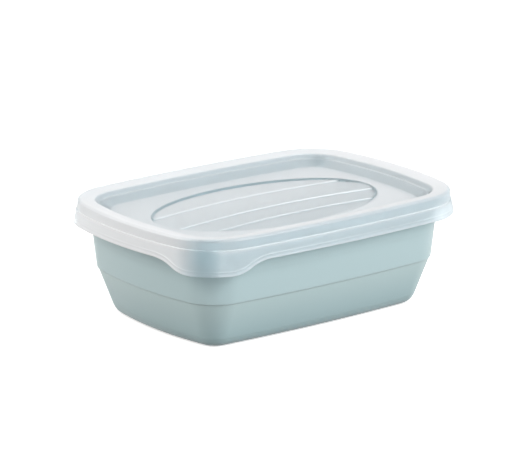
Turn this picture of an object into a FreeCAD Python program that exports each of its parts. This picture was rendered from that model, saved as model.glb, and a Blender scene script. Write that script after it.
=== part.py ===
"""Food storage container with a press-on lid, as a parametric FreeCAD document.

The container is two pressed polypropylene pieces:

* ``box``, the open, thin-walled lower part with a small flange round its mouth;
* ``lid``, a thin sheet formed into a skirt, a raised rim, a recessed panel and
  an oval field of shallow planks, with one finger tab at a corner.

Every level of both pieces is the same bowed, rounded rectangle moved inward by
some distance, its *inset*, measured from the lower edge of the lid's skirt.
Four shallow arcs make the sides and four tight arcs, tangent to them, make the
corners, so that all the levels are true parallel curves.

Frame: origin at the middle of the base, +Z up, X along the long sides, the
finger tab at the corner of -X and -Y.  Lengths are in millimetres.
"""

import FreeCAD, Part
import math
import os
import Sketcher
from FreeCAD import Placement, Rotation, Vector

DRIVING_SIZES = [
    # name, value, what it is
    ("lid_length", 190.0, "lid, tip to tip along X, at the skirt's lower edge"),
    ("lid_width", 136.4, "lid, across Y, at the skirt's lower edge"),
    ("side_radius", 900.0, "radius of the long sides, which bow outward"),
    ("end_radius", 215.0, "radius of the short sides, which bow outward"),
    ("corner_radius", 32.5, "radius of the corners at the skirt's lower edge"),
    ("skirt_level", 50.1, "height of the skirt's lower edge above the table"),
    ("lid_rise", 12.9, "height of the lid from the skirt's edge to its top"),
    ("lid_wall", 1.1, "thickness of the lid"),
    ("band_rise", 7.1, "height of the flared band below the ledge"),
    ("band_flare", 1.3, "how far that band leans out from top to bottom"),
    ("ledge_width", 0.5, "small ledge between the band and the neck"),
    ("neck_draft", 0.3, "how far the neck above the ledge leans in"),
    ("crown_radius", 1.2, "rounding from the neck to the top"),
    ("mouth_beyond", 2.1, "recess's upper edge, inside the box wall's inset"),
    ("crown_fall", 1.2, "how far the rim's top falls toward the recess"),
    ("shoulder_beyond", 4.3, "shoulder in the recess wall, inside the box wall's inset"),
    ("shoulder_depth", 3.4, "depth of that shoulder below the top"),
    ("shoulder_width", 0.9, "width of that shoulder"),
    ("panel_beyond", 10.5, "edge of the flat panel, inside the box wall's inset"),
    ("panel_depth", 6.5, "depth of the flat panel below the top"),
    ("oval_length", 137.0, "oval field of planks, along X"),
    ("oval_width", 77.0, "oval field of planks, across Y"),
    ("plank_depth", 1.2, "depth of a plank's low edge below the panel"),
    ("plank_step", 0.8, "step from one plank's high edge down to the next"),
    ("plank_radius", 380.0, "radius of the first plank line, seen from above"),
    ("plank_across", 6.0, "the plank lines' axis, off the lid's middle along X"),
    ("plank_start", 18.6, "first plank line, beyond the lid's middle"),
    ("plank_pitch", 22.9, "width of the plank that follows the first line"),
    ("plank_shrink", 0.752, "each plank's width as a share of the one before"),
    ("gate_radius", 3.9, "shallow dish round the moulding gate"),
    ("gate_depth", 0.35, "depth of that dish"),
    ("gate_across", 4.2, "the dish's middle, off the lid's middle along X"),
    ("gate_beyond", 4.0, "the dish's middle, off the lid's middle along Y"),
    ("tab_drop", 6.0, "how far the finger tab hangs below the skirt's edge"),
    ("tab_reach", 60.7, "width of the tab where it leaves the skirt"),
    ("tab_foot", 19.3, "width of the tab's straight lower edge"),
    ("tab_turn", 48.7, "direction of the tab's middle, from -X toward -Y"),
    ("box_wall", 1.3, "thickness of the box"),
    ("wall_inset", 9.1, "inset of the box wall at the skirt's lower edge"),
    ("upper_draft", 6.6, "draft of the wall above the step, in degrees"),
    ("step_level", 25.9, "height of the step in the wall"),
    ("step_width", 0.8, "how far the wall steps in there"),
    ("lower_draft", 20.7, "draft of the wall below the step, in degrees"),
    ("foot_radius", 7.0, "rounding from the wall to the base"),
    ("seat_gap", 0.3, "clearance between the lid and the box's flange"),
    ("flange_inset", 3.8, "inset of the flange's outer edge"),
    ("flange_thick", 1.2, "thickness of the flange"),
    ("flange_lip", 3.2, "height of the flange's turned-down lip"),
    ("flange_bevel", 1.6, "bevel on the flange's inner edge"),
]

FOOT_STEPS = 5          # straight facets of the foot's rounding
CROWN_STEPS = 4         # straight facets of the crown's rounding
MARGIN = 5.0            # how far a cutting solid reaches past what it cuts

# Corner arcs.  A corner's circle lies inside the circles of both sides and
# touches them, so its centre is (side radius - r) from one side's centre and
# (end radius - r) from the other's: the two distances fix it, whatever the inset.
SIDE_Y = "(Sizes.lid_width / 2 - Sizes.side_radius)"
END_X = "(Sizes.lid_length / 2 - Sizes.end_radius)"
SIDE_GAP = "(Sizes.side_radius - Sizes.corner_radius)"
END_GAP = "(Sizes.end_radius - Sizes.corner_radius)"
APART = f"sqrt({END_X} ^ 2 + {SIDE_Y} ^ 2)"
ALONG = f"(({SIDE_GAP} ^ 2 - {END_GAP} ^ 2 + {APART} ^ 2) / (2 * {APART}))"
ACROSS = f"sqrt({SIDE_GAP} ^ 2 - {ALONG} ^ 2)"
CORNER_X = f"(({END_X} * {ALONG} - {SIDE_Y} * {ACROSS}) / {APART})"
CORNER_Y = f"({SIDE_Y} - ({SIDE_Y} * {ALONG} + {END_X} * {ACROSS}) / {APART})"

# Levels of the lid.
TOP = "(Sizes.skirt_level + Sizes.lid_rise)"
LEDGE = "(Sizes.skirt_level + Sizes.band_rise)"
PANEL = f"({TOP} - Sizes.panel_depth)"
TAB_LEVEL = "(Sizes.skirt_level - Sizes.tab_drop)"
TAB_FLARE = "(Sizes.band_flare / Sizes.band_rise * Sizes.tab_drop)"
NECK = "(Sizes.band_flare + Sizes.ledge_width + Sizes.neck_draft)"
MOUTH = "(Sizes.wall_inset + Sizes.mouth_beyond)"
SHOULDER = "(Sizes.wall_inset + Sizes.shoulder_beyond)"
PANEL_EDGE = "(Sizes.wall_inset + Sizes.panel_beyond)"

# Levels of the box.
FLANGE_TOP = f"({TOP} - Sizes.lid_wall - Sizes.crown_fall - Sizes.seat_gap)"
FLANGE_LOW = f"({FLANGE_TOP} - Sizes.flange_thick)"
RISE = "(Sizes.skirt_level - Sizes.step_level)"
STEP_HIGH = f"(Sizes.wall_inset + {RISE} * tan(Sizes.upper_draft))"
STEP_LOW = f"({STEP_HIGH} + Sizes.step_width)"
LOWER_RISE = "(Sizes.step_level - Sizes.step_width)"
FOOT_LINE = f"({STEP_LOW} + {LOWER_RISE} * tan(Sizes.lower_draft))"
FOOT_CENTRE = f"({FOOT_LINE} + Sizes.foot_radius * (1 - sin(Sizes.lower_draft)) / cos(Sizes.lower_draft))"

doc = FreeCAD.newDocument("FoodContainer")
sizes = doc.addObject("Spreadsheet::Sheet", "Sizes")
for row, (name, value, meaning) in enumerate(DRIVING_SIZES, start=1):
    sizes.set(f"A{row}", name)
    sizes.set(f"B{row}", str(value))
    sizes.set(f"C{row}", meaning)
    sizes.setAlias(f"B{row}", name)
doc.recompute()


def value(expression):
    """Number that an expression over the sheet's names gives now."""
    result = sizes.evalExpression(expression)
    return float(getattr(result, "Value", result))


def plane_of(body, role):
    """One of a body's own origin planes, such as "XY_Plane"."""
    return next(item for item in body.Origin.OriginFeatures if item.Role == role)


def sketch_on(body, name, role, height="0"):
    """Empty sketch on one of the body's origin planes, moved along its normal."""
    sketch = body.newObject("Sketcher::SketchObject", name)
    sketch.AttachmentSupport = (plane_of(body, role), [""])
    sketch.MapMode = "FlatFace"
    sketch.setExpression("AttachmentOffset.Base.z", height)
    return sketch


def bind(sketch, kind, *where, to):
    """Dimension of a sketch, bound to an expression over the sheet's names."""
    index = sketch.addConstraint(Sketcher.Constraint(kind, *where, value(to)))
    sketch.setExpression(f"Constraints[{index}]", to)


def outline(body, name, inset, height):
    """Sketch of the bowed rectangle at one inset and height, fully constrained.

    Going round from the (+X, +Y) corner, arcs 0, 2, 4 and 6 are the corners,
    1 and 5 the long sides and 3 and 7 the short sides.
    """
    sketch = sketch_on(body, name, "XY_Plane", height)
    centre = Vector(value(CORNER_X), value(CORNER_Y))
    radius = value(f"Sizes.corner_radius - ({inset})")
    side_radius = value(f"Sizes.side_radius - ({inset})")
    end_radius = value(f"Sizes.end_radius - ({inset})")
    side_y = -value(SIDE_Y)
    end_x = -value(END_X)
    side_turn = math.atan2(centre.x, centre.y + side_y)
    end_turn = math.atan2(centre.y, centre.x + end_x)
    up = Vector(0, 0, 1)
    quarters = [(1, 1, 0), (-1, 1, 90), (-1, -1, 180), (1, -1, 270)]
    for quarter, (sign_x, sign_y, turn) in enumerate(quarters):
        first, last = (end_turn, math.pi / 2 - side_turn)
        half = side_turn
        middle = Vector(0, -sign_y * side_y)
        reach = side_radius
        if quarter % 2:
            first, last = (side_turn, math.pi / 2 - end_turn)
            half = end_turn
            middle = Vector(-sign_x * end_x, 0)
            reach = end_radius
        base = math.radians(turn)
        corner = Part.Circle(Vector(sign_x * centre.x, sign_y * centre.y), up, radius)
        side = Part.Circle(middle, up, reach)
        sketch.addGeometry(Part.ArcOfCircle(corner, base + first, base + last), False)
        away = base + math.pi / 2
        sketch.addGeometry(Part.ArcOfCircle(side, away - half, away + half), False)
    for arc in range(8):
        sketch.addConstraint(Sketcher.Constraint("Tangent", arc, 2, (arc + 1) % 8, 1))
    for arc in (1, 5):
        sketch.addConstraint(Sketcher.Constraint("PointOnObject", arc, 3, -2))
    for arc in (3, 7):
        sketch.addConstraint(Sketcher.Constraint("PointOnObject", arc, 3, -1))
    for arc in (2, 4, 6):
        sketch.addConstraint(Sketcher.Constraint("Equal", 0, arc))
    sketch.addConstraint(Sketcher.Constraint("Equal", 1, 5))
    sketch.addConstraint(Sketcher.Constraint("Equal", 3, 7))
    bind(sketch, "Radius", 0, to=f"Sizes.corner_radius - ({inset})")
    bind(sketch, "Radius", 1, to=f"Sizes.side_radius - ({inset})")
    bind(sketch, "Radius", 3, to=f"Sizes.end_radius - ({inset})")
    bind(sketch, "DistanceY", 1, 3, -1, 1, to=f"-{SIDE_Y}")
    bind(sketch, "DistanceY", -1, 1, 5, 3, to=f"-{SIDE_Y}")
    bind(sketch, "DistanceX", -1, 1, 3, 3, to=f"-{END_X}")
    bind(sketch, "DistanceX", 7, 3, -1, 1, to=f"-{END_X}")
    return sketch


def loft(body, name, kind, levels):
    """Ruled loft through outlines, each given as (inset, height)."""
    sections = [outline(body, f"{name}Level{index}", inset, height)
                for index, (inset, height) in enumerate(levels)]
    feature = body.newObject(f"PartDesign::{kind}Loft", name)
    feature.Profile = (sections[0], [""])
    feature.Sections = [(section, [""]) for section in sections[1:]]
    feature.Ruled = True
    return feature


def foot_levels(radius):
    """Levels of the rounding between the base and the wall, round one centre."""
    levels = []
    for step in range(FOOT_STEPS + 1):
        turn = f"{step / FOOT_STEPS} * (90 - Sizes.lower_draft)"
        inset = f"{FOOT_CENTRE} - {radius} * sin({turn})"
        height = f"Sizes.foot_radius - {radius} * cos({turn})"
        levels.append((inset, height))
    return levels


def wall_inset(height):
    """Inset of the box's outer wall above the step, at a height."""
    return f"(Sizes.wall_inset + (Sizes.skirt_level - {height}) * tan(Sizes.upper_draft))"


def make_box():
    """Open box: flange with a turned-down lip, stepped wall and rounded foot."""
    body = doc.addObject("PartDesign::Body", "BoxBody")
    lip_level = f"({FLANGE_TOP} - Sizes.flange_lip)"
    lip_inside = "Sizes.flange_inset + Sizes.flange_thick"
    bevel_level = f"({FLANGE_TOP} - Sizes.flange_bevel)"
    mouth = f"({wall_inset(bevel_level)} + Sizes.box_wall)"
    loft(body, "FlangeBlock", "Additive", [
        ("Sizes.flange_inset", lip_level),
        ("Sizes.flange_inset", FLANGE_TOP)])
    loft(body, "FlangeHollow", "Subtractive", [
        (lip_inside, f"{lip_level} - {MARGIN}"),
        (lip_inside, FLANGE_LOW)])
    loft(body, "Walls", "Additive", foot_levels("Sizes.foot_radius") + [
        (STEP_LOW, LOWER_RISE),
        (STEP_HIGH, "Sizes.step_level"),
        (wall_inset(FLANGE_LOW), FLANGE_LOW)])
    loft(body, "Cavity", "Subtractive",
         foot_levels("(Sizes.foot_radius - Sizes.box_wall)") + [
             (f"{STEP_LOW} + Sizes.box_wall / cos(Sizes.lower_draft)", LOWER_RISE),
             (f"{STEP_HIGH} + Sizes.box_wall", "Sizes.step_level"),
             (mouth, bevel_level),
             (f"{mouth} - Sizes.flange_bevel", FLANGE_TOP),
             (f"{mouth} - Sizes.flange_bevel", f"{FLANGE_TOP} + {MARGIN}")])
    body.Label = "box"
    return body


def crown_levels():
    """Levels of the rounding from the skirt's neck to the top of the rim."""
    levels = []
    for step in range(1, CROWN_STEPS + 1):
        turn = f"{step / CROWN_STEPS} * 90"
        inset = f"{NECK} + Sizes.crown_radius * (1 - cos({turn}))"
        height = f"{TOP} - Sizes.crown_radius * (1 - sin({turn}))"
        levels.append((inset, height))
    return levels


def lid_sheet():
    """The lid's sheet: skirt, rim, recess and panel, with the skirt left long.

    The outer side is one loft that climbs the skirt, crosses the rim and goes
    down the recess to the panel.  The same loft, moved in by the wall, is cut
    from it, and an oval pad on the underside gives the planks their floor.
    """
    body = doc.addObject("PartDesign::Body", "LidSheet")
    wall = "Sizes.lid_wall"
    slope = f"0.7 * {wall}"
    low = f"({TAB_LEVEL} - {MARGIN})"
    low_flare = f"({TAB_FLARE} * (1 + {MARGIN} / Sizes.tab_drop))"
    shoulder = f"({TOP} - Sizes.shoulder_depth)"
    shoulder_end = f"({SHOULDER} + Sizes.shoulder_width)"
    loft(body, "Outside", "Additive", [
        (f"-{TAB_FLARE}", TAB_LEVEL),
        ("Sizes.band_flare", LEDGE),
        ("Sizes.band_flare + Sizes.ledge_width", f"{LEDGE} + 0.3 * Sizes.ledge_width"),
        (NECK, f"{TOP} - Sizes.crown_radius")] + crown_levels() + [
        (MOUTH, f"{TOP} - Sizes.crown_fall"),
        (SHOULDER, shoulder),
        (shoulder_end, f"{shoulder} - 0.2 * Sizes.shoulder_width"),
        (PANEL_EDGE, PANEL)])
    loft(body, "Underside", "Subtractive", [
        (f"-{low_flare} + {wall}", low),
        (f"Sizes.band_flare + {wall}", f"{LEDGE} - Sizes.ledge_width"),
        (f"Sizes.band_flare + Sizes.ledge_width + {wall}", LEDGE),
        (f"{NECK} + {wall}", f"{TOP} - Sizes.crown_radius"),
        (f"{NECK} + Sizes.crown_radius", f"{TOP} - {wall}"),
        (f"{MOUTH} - 0.5 * {wall}", f"{TOP} - Sizes.crown_fall - {wall}"),
        (f"{SHOULDER} - {slope}", f"{shoulder} - {slope}"),
        (f"{shoulder_end} - {slope}", f"{shoulder} - {wall}"),
        (f"{PANEL_EDGE} - 0.5 * {wall}", f"{PANEL} - {wall}")])
    floor = oval(body, "FloorOutline", f"{PANEL} - {wall} - Sizes.plank_depth", wall)
    pad(body, "PlankFloor", floor, f"Sizes.plank_depth + 0.5 * {wall}")
    return body


def oval(body, name, height, wider="0"):
    """Sketch of the planks' oval outline, with its axes bound to the sheet."""
    sketch = sketch_on(body, name, "XY_Plane", height)
    half_length = f"Sizes.oval_length / 2 + {wider}"
    half_width = f"Sizes.oval_width / 2 + {wider}"
    ellipse = Part.Ellipse(Vector(0, 0), value(half_length), value(half_width))
    sketch.addGeometry(ellipse, False)
    sketch.exposeInternalGeometry(0)
    sketch.addConstraint(Sketcher.Constraint("Coincident", 0, 3, -1, 1))
    sketch.addConstraint(Sketcher.Constraint("Horizontal", 1))
    bind(sketch, "DistanceX", 1, 2, 1, 1, to=f"2 * ({half_length})")
    bind(sketch, "DistanceY", 2, 2, 2, 1, to=f"2 * ({half_width})")
    return sketch


def pad(body, name, sketch, length):
    """Straight pad of a sketch along its normal."""
    feature = body.newObject("PartDesign::Pad", name)
    feature.Profile = (sketch, [""])
    feature.setExpression("Length", length)
    return feature


def plank_lines():
    """Distances beyond the lid's middle of the crests between the planks.

    The last plank is the one whose far crest would come too near the oval's
    edge, so it runs on flat to that edge.
    """
    lines = ["Sizes.plank_start"]
    width = "Sizes.plank_pitch"
    last = "(Sizes.plank_pitch / 3 - Sizes.oval_width / 2)"
    while value(f"{lines[-1]} - {width}") > value(last):
        lines.append(f"({lines[-1]} - {width})")
        width = f"({width} * Sizes.plank_shrink)"
    return lines


def polyline(sketch, points):
    """Closed outline through (across, up) expressions, each point fixed by both."""
    corners = [Vector(value(across), value(up)) for across, up in points]
    for index, corner in enumerate(corners):
        after = corners[(index + 1) % len(corners)]
        sketch.addGeometry(Part.LineSegment(corner, after), False)
    for index in range(len(corners)):
        following = (index + 1) % len(corners)
        sketch.addConstraint(Sketcher.Constraint("Coincident", index, 2, following, 1))
    for index, (across, up) in enumerate(points):
        bind(sketch, "DistanceX", -1, 1, index, 1, to=across)
        bind(sketch, "DistanceY", -1, 1, index, 1, to=up)


def plank_cutter():
    """What is cut from the panel: an oval prism with a shingled floor.

    The floor rises along each plank to a crest and drops by the plank step to
    the next.  The crests are arcs round one axis, so the floor is a
    saw-toothed profile turned about it.
    """
    body = doc.addObject("PartDesign::Body", "PlankCutter")
    low = f"({PANEL} - Sizes.plank_depth)"
    bottom = f"({low} - 0.5 * Sizes.lid_wall)"
    prism = oval(body, "OvalOutline", bottom)
    pad(body, "OvalPrism", prism, f"{PANEL} - {bottom} + {MARGIN}")
    axis = "(Sizes.plank_start - Sizes.plank_radius)"
    far = f"(Sizes.oval_width / 2 + {MARGIN})"
    points = [(f"{far} - {axis}", f"{bottom} - {MARGIN}"), (f"{far} - {axis}", low)]
    for line in plank_lines():
        points.append((f"{line} - {axis}", f"{low} + Sizes.plank_step"))
        points.append((f"{line} - {axis}", low))
    points.append((f"-{far} - {axis}", low))
    points.append((f"-{far} - {axis}", f"{bottom} - {MARGIN}"))
    profile = sketch_on(body, "PlankProfile", "YZ_Plane")
    profile.setExpression("AttachmentOffset.Base.x", axis)
    profile.setExpression("AttachmentOffset.Base.z", "Sizes.plank_across")
    polyline(profile, points)
    groove = body.newObject("PartDesign::Groove", "PlankFloors")
    groove.Profile = (profile, [""])
    groove.ReferenceAxis = (profile, ["V_Axis"])
    groove.Angle = 360
    gate_level = f"{low} - Sizes.gate_depth"
    gate = sketch_on(body, "GateOutline", "XY_Plane", gate_level)
    middle = Vector(value("Sizes.gate_across"), value("Sizes.gate_beyond"))
    circle = Part.Circle(middle, Vector(0, 0, 1), value("Sizes.gate_radius"))
    gate.addGeometry(circle, False)
    bind(gate, "Radius", 0, to="Sizes.gate_radius")
    bind(gate, "DistanceX", -1, 1, 0, 3, to="Sizes.gate_across")
    bind(gate, "DistanceY", -1, 1, 0, 3, to="Sizes.gate_beyond")
    pad(body, "GateDish", gate, f"Sizes.gate_depth + {MARGIN}")
    return body


def tab_outline(body):
    """Sketch of the tab, seen along its own direction from outside the corner.

    Its lower edge is straight and meets the skirt's edge at either end in an
    S of two equal arcs, each over half the run and half the drop.
    """
    sketch = sketch_on(body, "TabOutline", "XZ_Plane", CORNER_Y)
    turn = Rotation(Vector(0, -1, 0), value("90 - Sizes.tab_turn"))
    sketch.AttachmentOffset = Placement(Vector(0, 0, 0), turn)
    sketch.setExpression("AttachmentOffset.Base.x", f"-{CORNER_X}")
    sketch.setExpression("AttachmentOffset.Base.y", "Sizes.skirt_level")
    sketch.setExpression("AttachmentOffset.Rotation.Angle", "90 - Sizes.tab_turn")
    reach = value("Sizes.tab_reach / 2")
    foot = value("Sizes.tab_foot / 2")
    drop = value("Sizes.tab_drop")
    run = reach - foot
    bend = (run ** 2 + drop ** 2) / (4 * drop)
    sweep = 2 * math.atan2(drop, run)
    up = Vector(0, 0, 1)
    quarter = math.pi / 2

    def arc(across, level, first, last):
        circle = Part.Circle(Vector(across, level), up, bend)
        sketch.addGeometry(Part.ArcOfCircle(circle, first, last), False)

    arc(-reach, -bend, quarter - sweep, quarter)
    arc(-foot, bend - drop, -quarter - sweep, -quarter)
    ends = (Vector(-foot, -drop), Vector(foot, -drop))
    sketch.addGeometry(Part.LineSegment(*ends), False)
    arc(foot, bend - drop, -quarter, sweep - quarter)
    arc(reach, -bend, quarter, quarter + sweep)
    ends = (Vector(reach, 0), Vector(-reach, 0))
    sketch.addGeometry(Part.LineSegment(*ends), False)
    for first, first_end, second, second_end in (
            (0, 1, 1, 1), (1, 2, 2, 1), (2, 2, 3, 1), (3, 2, 4, 2)):
        sketch.addConstraint(
            Sketcher.Constraint("Tangent", first, first_end, second, second_end))
    sketch.addConstraint(Sketcher.Constraint("Coincident", 4, 1, 5, 1))
    sketch.addConstraint(Sketcher.Constraint("Coincident", 5, 2, 0, 2))
    sketch.addConstraint(Sketcher.Constraint("Equal", 0, 1))
    sketch.addConstraint(Sketcher.Constraint("Equal", 3, 4))
    bind(sketch, "DistanceX", -1, 1, 5, 1, to="Sizes.tab_reach / 2")
    bind(sketch, "DistanceX", 5, 2, -1, 1, to="Sizes.tab_reach / 2")
    bind(sketch, "DistanceX", -1, 1, 2, 2, to="Sizes.tab_foot / 2")
    bind(sketch, "DistanceX", 2, 1, -1, 1, to="Sizes.tab_foot / 2")
    bind(sketch, "DistanceY", 2, 1, -1, 1, to="Sizes.tab_drop")
    bind(sketch, "DistanceY", 2, 2, -1, 1, to="Sizes.tab_drop")
    sketch.addConstraint(Sketcher.Constraint("PointOnObject", 5, 1, -1))
    sketch.addConstraint(Sketcher.Constraint("PointOnObject", 5, 2, -1))
    return sketch


def skirt_trim():
    """What is cut from the long skirt: all below its edge, except at the tab."""
    body = doc.addObject("PartDesign::Body", "SkirtTrim")
    bottom = f"({TAB_LEVEL} - {MARGIN})"
    plate = outline(body, "TrimOutline", f"-{MARGIN}", bottom)
    pad(body, "TrimPlate", plate, f"Sizes.tab_drop + {MARGIN}")
    notch = body.newObject("PartDesign::Pocket", "TabNotch")
    notch.Profile = (tab_outline(body), [""])
    notch.setExpression("Length", f"Sizes.corner_radius + {4 * MARGIN}")
    notch.Reversed = True
    return body


def make_lid():
    """Lid: the formed sheet, trimmed to its edge and tab, with its planks cut in."""
    trimmed = doc.addObject("Part::Cut", "TrimmedLid")
    trimmed.Base = lid_sheet()
    trimmed.Tool = skirt_trim()
    lid = doc.addObject("Part::Cut", "Lid")
    lid.Base = trimmed
    lid.Tool = plank_cutter()
    lid.Label = "lid"
    return lid


def check(nodes):
    """Stop if any object of the document failed or any piece isn't one solid."""
    for item in doc.Objects:
        if "Invalid" in item.State or "Error" in item.State:
            raise RuntimeError(f"{item.Name} failed: {item.State}")
    for node in nodes:
        shape = node.Shape
        if shape.isNull() or not shape.isValid() or len(shape.Solids) != 1:
            raise RuntimeError(f"{node.Label} is not one valid solid")


nodes = [make_box(), make_lid()]
doc.recompute()
check(nodes)
os.makedirs("parts", exist_ok=True)
for node in nodes:
    node.Shape.exportStep(f"parts/{node.Label}.step")
    bounds = node.Shape.BoundBox
    print(f"{node.Label}: volume {node.Shape.Volume:.0f} mm3, {bounds}")
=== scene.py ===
# %% [markdown]
# # A food storage container in satin and frosted plastic
# The container is a thin-walled box in pigmented polypropylene, shut with a
# frosted lid of the same plastic left natural.  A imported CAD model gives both
# pieces their sizes.  The two CAD solids are plain, so each is replaced here by
# a finer surface that fits inside the same box, with the small roundings that
# make moulded plastic catch the light.

# %% Load the frame
import math

import bpy
import numpy as np
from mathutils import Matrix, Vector


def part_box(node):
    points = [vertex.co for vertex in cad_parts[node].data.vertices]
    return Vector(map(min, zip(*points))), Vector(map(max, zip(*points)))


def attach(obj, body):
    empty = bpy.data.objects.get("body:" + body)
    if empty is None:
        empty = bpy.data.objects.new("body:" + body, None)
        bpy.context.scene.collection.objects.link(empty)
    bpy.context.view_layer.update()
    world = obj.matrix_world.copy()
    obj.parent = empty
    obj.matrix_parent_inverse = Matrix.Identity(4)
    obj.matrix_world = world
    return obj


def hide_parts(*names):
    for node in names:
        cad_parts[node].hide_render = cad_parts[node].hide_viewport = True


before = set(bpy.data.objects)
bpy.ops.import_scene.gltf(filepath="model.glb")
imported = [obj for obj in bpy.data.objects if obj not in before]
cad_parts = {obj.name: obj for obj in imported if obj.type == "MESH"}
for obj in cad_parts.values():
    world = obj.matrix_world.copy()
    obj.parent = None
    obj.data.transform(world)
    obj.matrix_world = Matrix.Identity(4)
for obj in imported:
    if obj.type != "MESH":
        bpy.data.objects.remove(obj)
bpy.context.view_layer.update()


MM = 0.001
LID_LOW, LID_HIGH = (np.array(corner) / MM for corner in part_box("lid"))
BOX_HIGH = np.array(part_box("box")[1]) / MM
print("lid, mm:", LID_LOW.round(1), LID_HIGH.round(1))

# %% [markdown]
# ## The outline that everything follows
# Seen from above, both pieces are the same rectangle: its long and short sides
# bow out a little and its corners are tight arcs.  A list of traced points would
# be simple, but every level of the walls lies some distance inside the one
# below, and only true parallel curves keep a drafted wall even all round.  So
# the outline is made of arcs, and one function gives, for any share of the way
# round, the point and the direction that faces out.  Moving in along that
# direction by an *inset* then gives every other level exactly.

# %% The outline and its outward direction
SIDE_RADIUS = 900.0      # long sides
END_RADIUS = 215.0       # short sides
CORNER_RADIUS = 32.5
HALF_LENGTH = LID_HIGH[0]
HALF_WIDTH = LID_HIGH[1]


def corner_centre():
    """Centre of the corner circle that touches a long and a short side inside.

    It is (side radius - r) from the long side's centre and (end radius - r)
    from the short side's, so it is where two circles cross.
    """
    side_y = HALF_WIDTH - SIDE_RADIUS
    end_x = HALF_LENGTH - END_RADIUS
    side_gap = SIDE_RADIUS - CORNER_RADIUS
    end_gap = END_RADIUS - CORNER_RADIUS
    apart = math.hypot(end_x, side_y)
    along = (side_gap ** 2 - end_gap ** 2 + apart ** 2) / (2 * apart)
    across = math.sqrt(side_gap ** 2 - along ** 2)
    x = (end_x * along - side_y * across) / apart
    y = side_y - (side_y * along + end_x * across) / apart
    return np.array([x, y])


CORNER = corner_centre()


def quarter_outline(samples=400):
    """Points and outward directions from the +Y middle to the +X middle.

    Each stretch is an arc: centre + radius * (sin turn, cos turn), with turn
    measured from +Y toward +X, and (sin turn, cos turn) faces out.
    """
    side = np.array([0.0, HALF_WIDTH - SIDE_RADIUS])
    end = np.array([HALF_LENGTH - END_RADIUS, 0.0])
    side_turn = math.atan2(*(CORNER - side))
    end_turn = math.atan2(*(CORNER - end))
    stretches = [(side, SIDE_RADIUS, 0.0, side_turn),
                 (CORNER, CORNER_RADIUS, side_turn, end_turn),
                 (end, END_RADIUS, end_turn, math.pi / 2)]
    points, facing = [], []
    for centre, radius, first, last in stretches:
        turn = np.linspace(first, last, samples)
        out = np.stack([np.sin(turn), np.cos(turn)], 1)
        points.append(centre + radius * out)
        facing.append(out)
    return np.concatenate(points), np.concatenate(facing)


def outline(share):
    """Point and outward direction at each share (0 to 1) of the way round.

    The quarter is measured by arc length, and the other quarters mirror it.
    The way runs clockwise from the middle of the +Y side.
    """
    points, facing = quarter_outline()
    steps = np.hypot(*np.diff(points, axis=0).T)
    length = np.concatenate([[0.0], np.cumsum(steps)]) / steps.sum()
    quarter = np.mod(share, 1.0) * 4
    number = np.floor(quarter).astype(int)
    part = quarter - number
    part = np.where(number % 2 == 1, 1 - part, part)
    sign = np.stack([np.where(number < 2, 1, -1),
                     np.where((number == 0) | (number == 3), 1, -1)], 1)
    place = np.stack([np.interp(part, length, points[:, axis]) for axis in (0, 1)], 1)
    out = np.stack([np.interp(part, length, facing[:, axis]) for axis in (0, 1)], 1)
    return place * sign, out * sign


print("corner centre, mm:", CORNER.round(2))

# %% [markdown]
# ## Profiles with soft corners
# A moulded edge is never sharp.  Bevel modifiers could round it afterwards, but
# the roundings differ from edge to edge and the profile is known, so each
# corner of the profile is rounded as it is drawn: it is swapped for an arc that
# touches both of its straight runs.

# %% Rounded profiles
def rounded(corners, steps=5, longest=0.9):
    """Profile through (inset, height, radius) corners, with arcs at each.

    The arc at a corner starts radius * tan(half the turn) before it.  Points on
    it are centre + radius * (direction), swept evenly from one run to the next.
    Straight runs are then cut into equal parts no longer than longest.
    """
    corners = np.array(corners, dtype=float)
    profile = [corners[0, :2]]
    for before, here, after in zip(corners, corners[1:], corners[2:]):
        into = (here - before)[:2] / np.hypot(*(here - before)[:2])
        away = (after - here)[:2] / np.hypot(*(after - here)[:2])
        turn = math.atan2(into[0] * away[1] - into[1] * away[0], into @ away)
        side = math.copysign(1, turn) * np.array([-into[1], into[0]])
        centre = here[:2] - here[2] * math.tan(abs(turn) / 2) * into + here[2] * side
        sweep = np.linspace(0, turn, steps + 1)
        ahead = np.cos(sweep)[:, None] * -side
        across = np.sin(sweep)[:, None] * np.array([side[1], -side[0]])
        profile.extend(centre + here[2] * (ahead + across))
    profile = np.array(profile + [corners[-1, :2]])
    length = np.concatenate([[0], np.cumsum(np.hypot(*np.diff(profile, axis=0).T))])
    parts = np.maximum(np.ceil(np.diff(length) / longest).astype(int), 1)
    cuts = [np.linspace(low, high, part + 1)[:-1]
            for low, high, part in zip(length, length[1:], parts)]
    along = np.unique(np.append(np.concatenate(cuts), length[-1]).round(6))
    return np.stack([np.interp(along, length, profile[:, axis]) for axis in (0, 1)], 1)


def tangent(degrees):
    """Tangent of an angle in degrees, for drafts."""
    return math.tan(math.radians(degrees))


# %% [markdown]
# ## Meshes from rings
# Every piece is a stack of rings that all have the same number of points, so
# its faces are a plain grid: each four neighbours make a quad.  Building the
# whole index array at once is quicker than adding faces one by one, and the
# grid keeps the shading even.

# %% Ring meshes
def ring_quads(rings, around, first=0):
    """Quads between neighbouring rings; point j of ring i is i * around + j."""
    ring, place = np.meshgrid(np.arange(rings - 1), np.arange(around), indexing="ij")
    after = (place + 1) % around
    low = first + ring * around
    quads = np.stack([low + place, low + after, low + around + after,
                      low + around + place], -1)
    return quads.reshape(-1, 4)


def fan(centre, around, flip):
    """Triangles from one point to a closed ring of points."""
    after = np.roll(around, -1)
    middle = np.full_like(around, centre)
    order = [middle, after, around] if flip else [middle, around, after]
    return np.stack(order, 1)


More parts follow.
